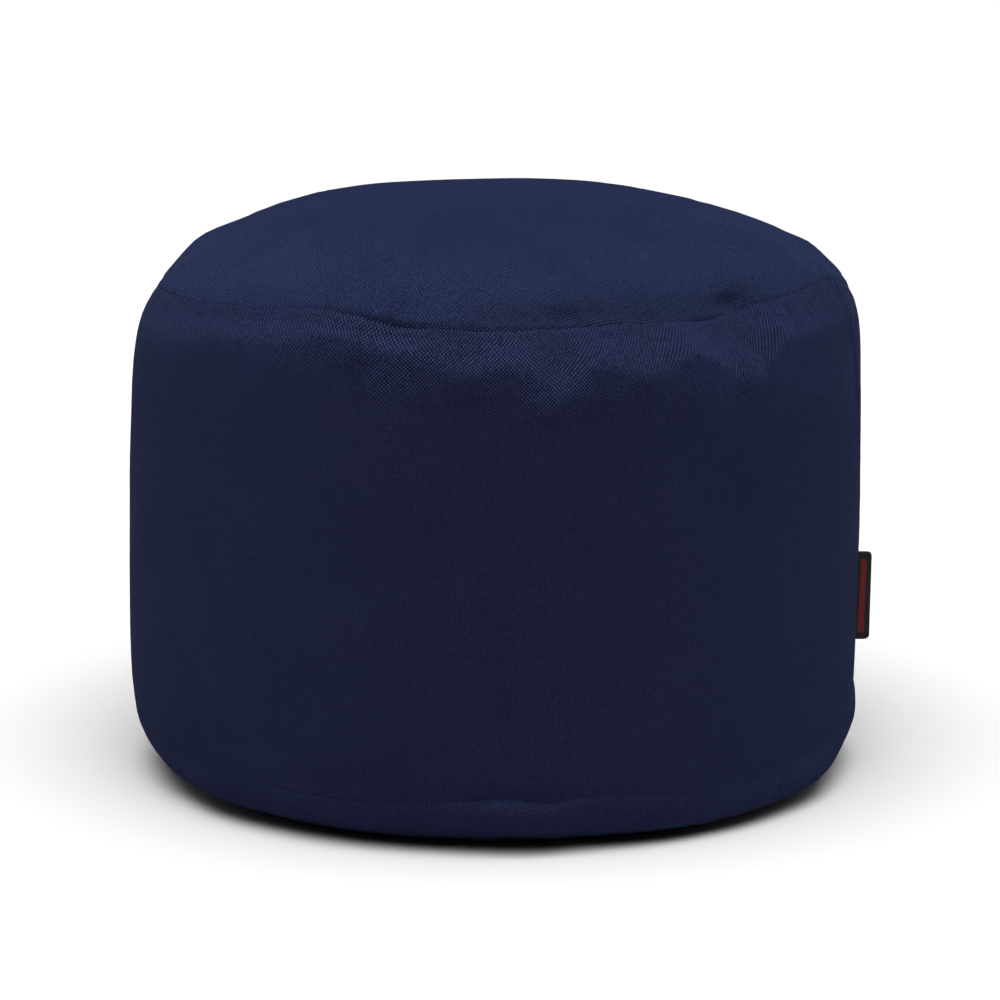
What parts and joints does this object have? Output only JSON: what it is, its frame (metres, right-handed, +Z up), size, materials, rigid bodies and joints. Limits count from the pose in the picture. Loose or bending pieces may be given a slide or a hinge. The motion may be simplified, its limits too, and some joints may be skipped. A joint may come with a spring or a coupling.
{
  "type": "bean bag footstool",
  "caption": "Round pouf footstool of woven cloth filled tight with beads: domed top, barrel side with an upright seam and a ribbon tab, and a flat patch to rest on.",
  "frame": {"origin": "middle of the flat patch that the pouf rests on", "axes": "+Z up, -Y the front, +X towards the side seam and its tab"},
  "size_m": [0.5106, 0.5, 0.3903],
  "materials": {
    "side_cloth": "matte basket weave in dark navy",
    "top_cloth": "matte basket weave in dark navy",
    "base_cloth": "matte basket weave in dark navy",
    "tab_ribbon": "close-woven black ribbon with a plain dark red stripe"
  },
  "bodies": {
    "root": {"side_panel": "side_cloth", "top_panel": "top_cloth", "base_panel": "base_cloth", "side_tab": "tab_ribbon"}
  },
  "joints": []
}
